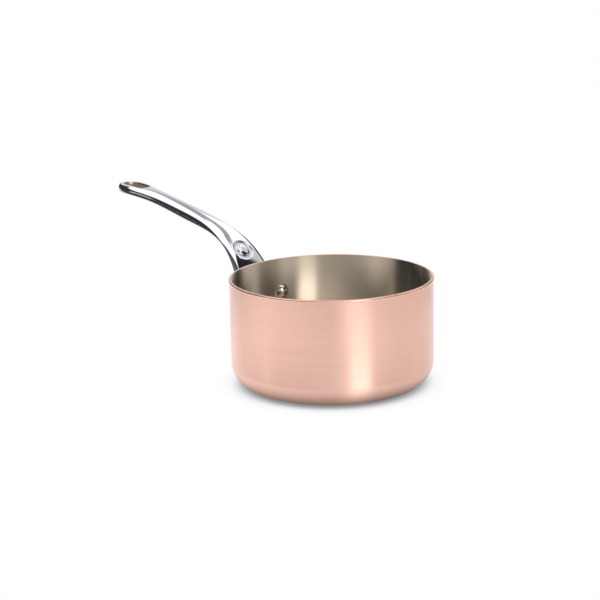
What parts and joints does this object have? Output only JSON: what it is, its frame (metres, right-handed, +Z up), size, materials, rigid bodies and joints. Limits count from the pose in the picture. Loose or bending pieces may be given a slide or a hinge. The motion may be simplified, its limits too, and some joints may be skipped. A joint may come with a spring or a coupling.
{
  "type": "saucepan",
  "caption": "Straight-sided copper saucepan with a steel lining, a curved cast steel handle on a riveted plate, and a slot to hang it by.",
  "frame": {"origin": "centre of the flat base, on the surface the pan stands on", "axes": "+Z up out of the pan's mouth; the handle runs along -X, and Y runs across it"},
  "size_m": [0.3378, 0.165, 0.1366],
  "materials": {
    "copper": "brushed copper",
    "lining_steel": "brushed",
    "handle_steel": "mirror polished",
    "rivet_steel": "polished"
  },
  "bodies": {
    "root": {"copper_shell": "copper", "steel_lining": "lining_steel", "handle": "handle_steel", "rivet_left": "rivet_steel", "rivet_right": "rivet_steel"}
  },
  "joints": []
}
